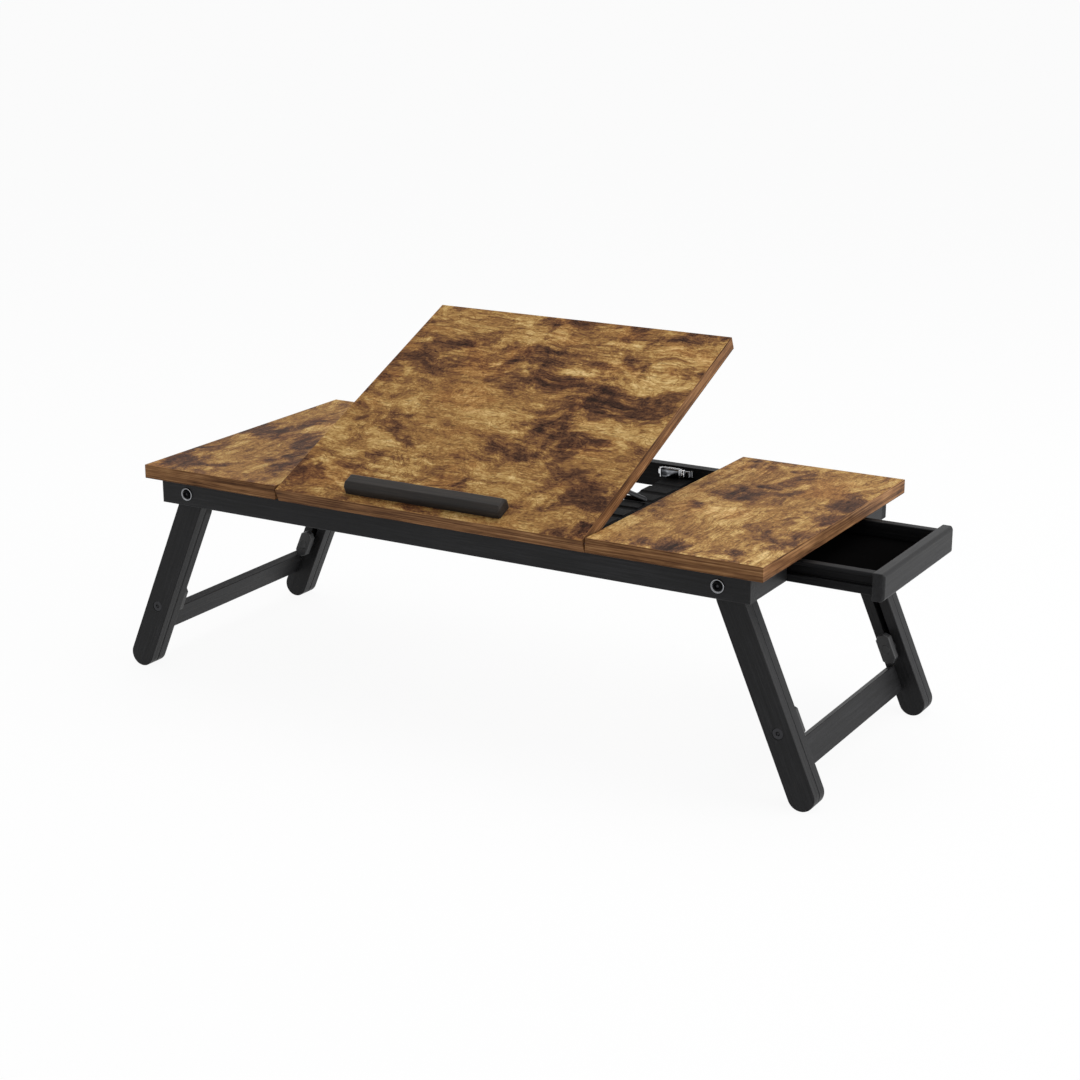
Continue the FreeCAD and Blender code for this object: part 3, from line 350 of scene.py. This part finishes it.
def metal(name, colour, roughness, mark=0.00003):
    """Plated or blackened steel with a faint unevenness in its shine, as deep as mark."""
    finish = Finish(name, Metallic=1.0)
    point = finish.place()
    cloud = finish.noise(point, 260.0, 3.0, 0.6)
    speck = finish.noise(point, 2200.0, 2.0, 0.5)
    finish.feed("Base Color", finish.blend(finish.step(cloud, 0.3, 0.75), colour, times(colour, 0.86)))
    finish.feed("Roughness", roughness + (cloud - 0.5) * 0.12 + (speck - 0.5) * 0.06)
    finish.feed("Normal", finish.bump(speck, mark))
    return finish.material


def plate_with_painted_reflection(name):
    """Bright plating with dark, broken bands painted into its colour: a painted reflection of dark surroundings,
    as polished sheet shows in a dark corner.
    """
    finish = Finish(name, Metallic=1.0)
    point = finish.place()
    cloud = finish.noise(finish.stretch(point, 1.0, 1.0, 2.6), 95.0, 2.0, 0.5, 0.3)
    # The stops paint the reflection: dark and grey bands of mirrored surroundings over bright plating.
    stops = [(0.34, paint(22, 23, 25)), (0.48, paint(64, 65, 68)), (0.6, paint(112, 114, 118)),
             (0.78, paint(178, 180, 184))]
    finish.feed("Base Color", finish.node("ShaderNodeValToRGB", {"stops": stops}, {0: cloud}))
    finish.feed("Roughness", 0.12 + (cloud - 0.5) * 0.1)
    finish.feed("Normal", finish.bump(cloud, 0.00004))
    return finish.material


def moulded(name, colour):
    """Moulded plastic with a fine spark-eroded skin."""
    finish = Finish(name, Specular_IOR_Level=0.45)
    point = finish.place()
    skin = finish.noise(point, 1500.0, 3.0, 0.6)
    cloud = finish.noise(point, 90.0, 3.0, 0.6)
    finish.feed("Base Color", finish.blend(cloud, colour, times(colour, 1.7)))
    finish.feed("Roughness", 0.46 + (skin - 0.5) * 0.2)
    finish.feed("Normal", finish.bump(skin, 0.00006))
    return finish.material


def bare_wood(name):
    """Turned dowel, unfinished."""
    finish = Finish(name, Specular_IOR_Level=0.3)
    lines = finish.noise(finish.stretch(finish.place(), 900.0, 900.0, 60.0), 1.0, 4.0, 0.6)
    finish.feed("Base Color", finish.blend(lines, paint(196, 160, 112), paint(150, 112, 70)))
    finish.feed("Roughness", 0.6 + (lines - 0.5) * 0.2)
    return finish.material


def hardboard(name):
    """Thin black board of the drawer floor, with pressed fibres, painted darker than the board's own black as
    painted shade inside the drawer.
    """
    finish = Finish(name, Specular_IOR_Level=0.0)
    point = finish.place()
    fibre = finish.noise(finish.stretch(point, 700.0, 260.0, 260.0), 1.0, 4.0, 0.65, 1.2)
    cloud = finish.noise(point, 30.0, 3.0, 0.6)
    # These colours are the board's own black with painted shade inside the drawer laid over it.
    finish.feed("Base Color", finish.blend(fibre * 0.6 + cloud * 0.4, paint(4, 4, 4), paint(13, 12, 12)))
    finish.feed("Roughness", 0.6 + (fibre - 0.5) * 0.3)
    finish.feed("Normal", finish.bump(fibre, 0.00008))
    return finish.material


# ---------------------------------------------------------------- pieces
def settle(piece, body, *nodes, slot=None, materials=()):
    """Hangs a piece on its body, in place of its solids, with its finishes."""
    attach(piece, body)
    if nodes:
        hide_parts(*nodes)
    for material in materials:
        piece.data.materials.append(material)


def finished(name, mesh):
    """Turns a bmesh into an object with smooth faces and crisp corners."""
    for face in mesh.faces:
        face.smooth = True
    for edge in mesh.edges:
        edge.smooth = len(edge.link_faces) == 2 and edge.calc_face_angle(0) < SHARP
    data = bpy.data.meshes.new(name)
    mesh.to_mesh(data)
    mesh.free()
    piece = bpy.data.objects.new(name, data)
    bpy.context.scene.collection.objects.link(piece)
    weighted = piece.modifiers.new("even_normals", "WEIGHTED_NORMAL")
    weighted.keep_sharp = True
    weighted.weight = 100
    return piece


def body_of(node):
    return NODES[node]["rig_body"]


def span(node, x=0, y=0):
    """Lowest and highest corner of a node's solids, or of those on one side of the table."""
    points = [corner.co for corner in NODES[node].data.vertices if corner.co.x * x >= 0 and corner.co.y * y >= 0]
    return [Vector(limit(point[axis] for point in points) for axis in range(3)) for limit in (min, max)]


def round_over(mesh, edges, radius, segments=3):
    bmesh.ops.bevel(mesh, geom=edges, offset=radius, offset_type="OFFSET", segments=segments,
                    profile=0.5, affect="EDGES", clamp_overlap=True)


def eased(node, radius):
    """The solid of a node with its long sharp edges rounded over, as sandpaper leaves them."""
    mesh = bmesh.new()
    mesh.from_mesh(NODES[node].data)
    bmesh.ops.remove_doubles(mesh, verts=mesh.verts, dist=WELD)
    bmesh.ops.dissolve_limit(mesh, angle_limit=FLAT, verts=mesh.verts, edges=mesh.edges)
    sharp = [edge for edge in mesh.edges if len(edge.link_faces) == 2
             and edge.calc_face_angle(0) > SHARP and edge.calc_length() > radius * 3]
    round_over(mesh, sharp, radius)
    return finished(node + "_eased", mesh)


def board(node, tilt, top, band):
    """A board whose two faces carry the print and whose edges carry the banding."""
    piece = eased(node, BOARD_EDGE)
    settle(piece, body_of(node), node, slot="board", materials=[top, band])
    level = Matrix.Rotation(-math.radians(tilt), 3, "X")
    for face in piece.data.polygons:
        face.material_index = 0 if abs((level @ face.normal).z) > 0.9 else 1


def bar(node, material, radius=BAR_EDGE, slot="black_wood"):
    settle(eased(node, radius), body_of(node), node, slot=slot, materials=[material])


def keep(node, material):
    """A solid that shows as it is, with a finish."""
    data = NODES[node].data
    data.materials.clear()
    data.materials.append(material)


# Outlines of sockets in turned pieces: the share of the radius at an angle.
def hexagon(angle):
    return math.cos(math.pi / 6) / math.cos(angle % (math.pi / 3) - math.pi / 6)


def cross(angle):
    return 0.3 + 0.7 * abs(math.cos(2 * angle)) ** 5


def turned(mesh, base, direction, rings, steps, finish=0):
    """Joins rings of (distance, radius, outline) about an axis, and closes both ends; a ring alone is round."""
    along = Vector(direction).normalized()
    aside = along.orthogonal().normalized()
    over = along.cross(aside)
    loops = []
    for distance, radius, *outline in rings:
        loop = []
        for step in range(steps):
            angle = math.tau * step / steps
            reach = radius * outline[0](angle) if outline else radius
            spoke = aside * math.cos(angle) + over * math.sin(angle)
            loop.append(mesh.verts.new(Vector(base) + along * distance + spoke * reach))
        loops.append(loop)
    faces = [mesh.faces.new(loops[0][::-1]), mesh.faces.new(loops[-1])]
    for below, above in zip(loops, loops[1:]):
        for step in range(steps):
            after = (step + 1) % steps
            faces.append(mesh.faces.new((below[step], below[after], above[after], above[step])))
    for face in faces:
        face.material_index = finish


def rounded(mesh, low, high, radius, finish, segments=3):
    """A block between two corners with all its edges rounded over, made by itself and then joined to the mesh."""
    low, high = Vector(low), Vector(high)
    block = bmesh.new()
    for corner in bmesh.ops.create_cube(block, size=1.0)["verts"]:
        corner.co = (low + high) / 2 + corner.co * (high - low)
    round_over(block, block.edges[:], radius, segments)
    for face in block.faces:
        face.material_index = finish
    data = bpy.data.meshes.new("block")
    block.to_mesh(data)
    block.free()
    mesh.from_mesh(data)
    bpy.data.meshes.remove(data)


def knob(side, end):
    """Clamping knob: its bar grip and hub, eased, with a round cap over the bolt in the middle of the grip."""
    node = f"knob_{side}_{end}"
    bar(node, plastic, KNOB_EDGE, "black_plastic")
    low, high = span(node)
    middle = (low + high) / 2
    inward, face = (1, high.y) if side == "front" else (-1, low.y)
    sunk = 0.0004
    mesh = bmesh.new()
    turned(mesh, (middle.x, face - sunk * inward, middle.z), (0, inward, 0),
           [(0, 0.0052), (0.0005, 0.0051), (0.0008, 0.0047), (0.0009, 0.004), (0.0006, 0.0034),
            (0.0005, 0.001)], 48)
    settle(finished(node + "_cap", mesh), body_of(node), slot="black_plastic", materials=[plastic])


def pivot_bolts():
    """Four pivot bolts: a bright washer rim round a black domed head, and the dull floor of its hexagon socket in
    a lighter grey oxide, as a painted highlight in the socket.
    """
    mesh = bmesh.new()
    for end, side in ((-1, -1), (-1, 1), (1, -1), (1, 1)):
        low, high = span("pivot_bolts", end, side)
        middle = (low + high) / 2
        head = (high.x - low.x) / 2
        tip = high.y if side < 0 else low.y
        rail = RAIL_FACE * side
        rim = [(-0.0006, head * 0.6), (-0.0006, head), (0.0008, head), (0.0013, head - 0.0003),
               (0.0015, head - 0.0007), (0.0014, head - 0.0011), (0.0004, head - 0.0014)]
        dome = [(-abs(tip - rail), BOLT_END), (0.0, BOLT_SHANK), (0.0003, BOLT_SHANK), (0.0004, head - 0.0015),
                (0.0014, head - 0.0019), (0.0021, head - 0.0027), (0.0025, head - 0.0037), (0.0026, 0.0029),
                (0.0024, 0.0026, hexagon), (0.0008, 0.0025, hexagon), (0.0007, 0.0005)]
        # The socket floor is lighter than the head: a painted highlight in the hexagon socket.
        socket_floor = [(0.0004, 0.0023, hexagon), (0.0009, 0.0022, hexagon), (0.00095, 0.0005)]
        for rings, steps, finish in ((rim, 64, 1), (dome, 60, 0), (socket_floor, 60, 2)):
            turned(mesh, (middle.x, rail, middle.z), (0, side, 0), rings, steps, finish)
    settle(finished("pivot_bolts_domed", mesh), body_of("pivot_bolts"), "pivot_bolts", slot="dark_steel",
           materials=[glossy_black, washer, lighter_oxide])


def clamp_heads(end):
    """The two clamp bolts of a leg frame: low domed heads, sunk in the legs, with a hexagon socket."""
    node = f"clamp_bolts_{end}"
    mesh = bmesh.new()
    for side in (-1, 1):
        low, high = span(node, 0, side)
        middle = (low + high) / 2
        face, tail = (low.y, high.y) if side < 0 else (high.y, low.y)
        length = abs(tail - face)
        turned(mesh, (middle.x, face, middle.z), (0, side, 0),
               [(-length, BOLT_END), (-length + 0.0006, BOLT_SHANK), (-0.0025, BOLT_SHANK), (-0.0025, CLAMP_HEAD),
                (-0.0008, CLAMP_HEAD), (-0.0002, 0.0055), (0.0, 0.0042), (-0.0001, 0.0026),
                (-0.0003, 0.0022, hexagon), (-0.0019, 0.0021, hexagon), (-0.0021, 0.0005)], 48)
    # The heads are in the lighter grey oxide, lighter than the other black steel.
    settle(finished(node + "_domed", mesh), body_of(node), node, slot="dark_steel", materials=[lighter_oxide])


def catch():
    """Panel catch: a rounded housing whose plating carries a painted reflection in dark bands, with its bright
    magnet strip on top, an end tab and a screwed adjuster.
    """
    bright, dark, painted_reflection, rim = range(4)
    low, high = span("panel_catch")
    strip_top = span("catch_magnet")[1].z
    left, right = low.x + 0.005, high.x - 0.013  # the ends of the housing
    mesh = bmesh.new()
    # The housing, in plating with a painted reflection of dark surroundings.
    rounded(mesh, (left, low.y, low.z), (right, high.y, high.z), 0.0016, painted_reflection, 4)
    rounded(mesh, (left + 0.0015, low.y + 0.0032, high.z - 0.001),
            (right - 0.0015, high.y - 0.0022, strip_top), 0.0003, bright)
    # A flange at each end of the housing.
    for place in (left - 0.0011, right - 0.0003):
        rounded(mesh, (place, low.y - 0.0004, low.z - 0.0003), (place + 0.0014, high.y, high.z), 0.0005, bright)
    # The tab, and the button in front of it.
    rounded(mesh, (low.x, high.y - 0.0032, low.z + 0.0012), (left, high.y, high.z - 0.001), 0.0007, bright)
    rounded(mesh, (low.x + 0.0006, low.y + 0.002, low.z + 0.0022),
            (left - 0.0008, high.y - 0.002, high.z - 0.0018), 0.001, bright)
    # The adjuster: a bright block, a darker one and its end plate.
    rounded(mesh, (right + 0.0008, low.y + 0.0014, low.z + 0.0004),
            (right + 0.0052, high.y, high.z - 0.0004), 0.0009, bright)
    rounded(mesh, (right + 0.0048, low.y + 0.003, low.z + 0.0014),
            (high.x - 0.0018, high.y, high.z - 0.0012), 0.001, rim)
    rounded(mesh, (high.x - 0.0024, high.y - 0.0026, low.z + 0.001), (high.x, high.y, high.z - 0.001), 0.0006, rim)
    # The screws of the adjuster.
    middle = (low.z + high.z) / 2
    turned(mesh, (right + 0.003, low.y + 0.0015, middle), (0, -1, 0),
           [(0, 0.0018), (0.0004, 0.0018), (0.0007, 0.0015), (0.0007, 0.0012, cross), (0.0002, 0.0007, cross)],
           40, bright)
    turned(mesh, (right + 0.008, low.y + 0.0031, middle), (0, -1, 0),
           [(0, 0.0026), (0.0005, 0.0026), (0.0008, 0.0021), (0.0008, 0.0011), (0.0003, 0.001, hexagon)], 40, dark)
    settle(finished("panel_catch_housing", mesh), body_of("panel_catch"), "panel_catch", "catch_magnet",
           slot="chrome", materials=[chrome, oxide, chrome_with_painted_reflection, washer])


def wood_screws(name, places, radius):
    """Countersunk screws that face down, a hair below the wood, each with a cross recess."""
    mesh = bmesh.new()
    for place in places:
        turned(mesh, place, (0, 0, -1), [(-0.0012, radius * 0.7), (0.0001, radius), (0.00022, radius * 0.93),
                                         (0.00018, radius * 0.62, cross), (-0.0009, radius * 0.4, cross)], 40)
    settle(finished(name, mesh), "table_frame", slot="plated_steel", materials=[zinc])


def under_screws():
    """Screws up through the battens and the drawer runners, into the boards."""
    places = []
    for node in ("left_batten", "right_batten"):
        low, high = span(node)
        middle = (low.x + high.x) / 2
        places += [(middle, y, low.z) for y in (low.y * 0.8, 0, high.y * 0.8)]
    wood_screws("batten_screws", places, SCREW_HEAD)
    places = []
    for node in ("drawer_runner_front", "drawer_runner_rear"):
        low, high = span(node)
        middle = (low.y + high.y) / 2
        places += [(low.x + (high.x - low.x) * share, middle, low.z) for share in (0.1, 0.5, 0.9)]
    wood_screws("runner_screws", places, SMALL_SCREW_HEAD)


# ---------------------------------------------------------------- the object
board_low, board_high = span("left_board")
middle, half = (board_low.z + board_high.z) / 2, (board_high.z - board_low.z) / 2
honey = [laminate("rustic_print_left", 0, (2.3, 0.6, 0), 90), laminate("rustic_print_centre", TILT, (0.9, 0.4, 0)),
         laminate("rustic_print_right", 0, (0.7, 4.4, 0), 90)]
bands = [edge_band("edge_band_flat", 0, middle, half), edge_band("edge_band_tilted", TILT, HINGE.z, half)]
front_wood = black_wood("black_wood_front", (1, 0, 0))
# The rear rail is a darker copy of the black wood: painted shade, where it lies in shadow at the back of the
# table.
shaded_rear_wood = black_wood("black_wood_rear_shaded", (1, 0, 0), shine=0.07, painted_shade=12)
across_wood = black_wood("black_wood_across", (0, 1, 0))
# The drawer parts and the bars under the boards are darker copies too: painted shade inside the drawer and under
# the table, darkest under the boards.
shaded_drawer_wood = black_wood("black_wood_drawer_shaded", (1, 0, 0), shine=0.08, painted_shade=12)
shaded_under_wood = black_wood("black_wood_under_shaded", (0, 1, 0), shine=0.02, painted_shade=18)
ledge_wood = black_wood("black_wood_ledge", (1, 0, 0), warm=1.0)
lean = math.radians(LEAN)
leg_wood = {end: black_wood(f"black_wood_{end}_leg", (math.sin(lean) * side, 0, math.cos(lean)))
            for end, side in (("left", 1), ("right", -1))}
zinc = metal("zinc_plate", paint(190, 192, 196), 0.3)
chrome = metal("bright_chrome", paint(225, 226, 228), 0.1, 0.00001)
oxide = metal("black_oxide", paint(40, 40, 43), 0.4)
# A lighter grey oxide: for the clamp bolt heads, and for the pivot bolt sockets, where it is a painted highlight.
lighter_oxide = metal("lighter_oxide", paint(58, 58, 60), 0.5)
washer = metal("washer_rim", paint(150, 151, 154), 0.24)
glossy_black = metal("bolt_black", paint(14, 14, 15), 0.25)
# Plating with a painted reflection of dark surroundings, for the catch housing.
chrome_with_painted_reflection = plate_with_painted_reflection("chrome_with_painted_reflection")
plastic = moulded("black_plastic", paint(22, 22, 23))

board("left_board", 0, honey[0], bands[0])
board("tilt_panel", TILT, honey[1], bands[1])
board("right_board", 0, honey[2], bands[0])
for wood, names in (
        (shaded_rear_wood, ["rear_rail"]),
        (front_wood, ["front_rail"]),
        (across_wood, ["left_end_rail", "right_end_rail_front", "right_end_rail_rear"]),
        (shaded_drawer_wood, ["drawer_side_front", "drawer_side_rear", "drawer_runner_front", "drawer_runner_rear"]),
        (across_wood, ["drawer_back", "drawer_front", "crossbar_left", "crossbar_right"]),
        (shaded_under_wood, ["left_batten", "right_batten", "left_rack", "right_rack"]),
        (ledge_wood, ["ledge"])):
    for name in names:
        bar(name, wood)
bar("drawer_floor", hardboard("drawer_board"), FINE_EDGE, "drawer_floor")
for end in ("left", "right"):
    for side in ("front", "rear"):
        bar(f"leg_{side}_{end}", leg_wood[end])
        bar(f"extension_{side}_{end}", leg_wood[end])
        knob(side, end)
    clamp_heads(end)
    keep(f"guide_pins_{end}", oxide)
pivot_bolts()
catch()
under_screws()
for name, material in (("pivot_nuts", zinc), ("tilt_stay", oxide), ("panel_pins", zinc), ("saddle_screws", zinc),
                       ("stay_saddles", plastic), ("ledge_dowels", bare_wood("dowel_wood")),
                       ("catch_plate", chrome)):
    keep(name, material)


# ---------------------------------------------------------------- light and camera
def white_floor():
    """White floor that keeps a little of the object's shadow."""
    mesh = bmesh.new()
    bmesh.ops.create_grid(mesh, x_segments=2, y_segments=2, size=30)
    floor = finished("floor", mesh)
    floor.location.z = solid_box[0][2]
    finish = Finish("white_floor", Roughness=0.9, Specular_IOR_Level=0.1)
    finish.shader.inputs["Base Color"].default_value = (0.86, 0.86, 0.86, 1)
    glow = finish.node("ShaderNodeEmission", None, {0: (1, 1, 1, 1), 1: 1.0})
    mixed = finish.backdrop(Value(finish, finish.shader.outputs[0]), FLOOR_WHITE)
    finish.tree.links.new(glow.socket, mixed.socket.node.inputs[2])
    finish.tree.links.new(mixed.socket, finish.tree.nodes["Material Output"].inputs[0])
    floor.data.materials.append(finish.material)


def surroundings():
    """White all round to the camera and to shiny things; the light they give is dimmer on the user's side."""
    world = bpy.data.worlds.new("studio")
    bpy.context.scene.world = world
    world.use_nodes = True
    world.node_tree.nodes.clear()
    studio = Shading(world.node_tree)
    rear = studio.step(studio.parts(studio.node("ShaderNodeTexCoord"))[1], -0.5, 0.7)
    dim, bright = [studio.node("ShaderNodeBackground", None, {0: (0.97, 0.985, 1, 1), 1: strength})
                   for strength in (DIM_SKY, BRIGHT_SKY)]
    lit = studio.node("ShaderNodeMixShader", None, {0: rear, 1: dim, 2: bright})
    mixed = studio.backdrop(lit, 1.0)
    white = studio.node("ShaderNodeBackground", None, {0: (1, 1, 1, 1), 1: 1.0})
    studio.tree.links.new(white.socket, mixed.socket.node.inputs[2])
    output = studio.tree.nodes.new("ShaderNodeOutputWorld")
    studio.tree.links.new(mixed.socket, output.inputs[0])


def softbox(name, place, aim, size, power):
    light = bpy.data.lights.new(name, "AREA")
    light.shape = "RECTANGLE"
    light.size, light.size_y = size
    light.energy = power
    lamp = bpy.data.objects.new(name, light)
    bpy.context.scene.collection.objects.link(lamp)
    lamp.location = place
    lamp.rotation_euler = (Vector(aim) - Vector(place)).to_track_quat("-Z", "Y").to_euler()


def camera():
    """Long lens, a little above the table, from the user's right."""
    lens = bpy.data.cameras.new("camera")
    lens.lens, lens.sensor_width = FOCAL_LENGTH, 36.0
    lens.clip_start, lens.clip_end = 0.05, 60
    eye = bpy.data.objects.new("camera", lens)
    bpy.context.scene.collection.objects.link(eye)
    azimuth, elevation = math.radians(AZIMUTH), math.radians(ELEVATION)
    look = Vector((-math.sin(azimuth) * math.cos(elevation), math.cos(azimuth) * math.cos(elevation),
                   -math.sin(elevation)))
    eye.location = EYE
    eye.rotation_euler = look.to_track_quat("-Z", "Y").to_euler()
    bpy.context.scene.camera = eye


white_floor()
surroundings()
softbox("overhead", (0.2, 0.2, 2.2), (0, 0, 0.2), (2.4, 1.8), 26)
softbox("right_side", (2.6, 0.5, 0.9), (0.2, 0, 0.15), (1.8, 1.6), 38)
softbox("front_fill", (-1.4, -2.6, 1.6), (0, 0, 0.15), (1.8, 1.4), 8)
camera()
bpy.context.scene.view_settings.view_transform = "Standard"
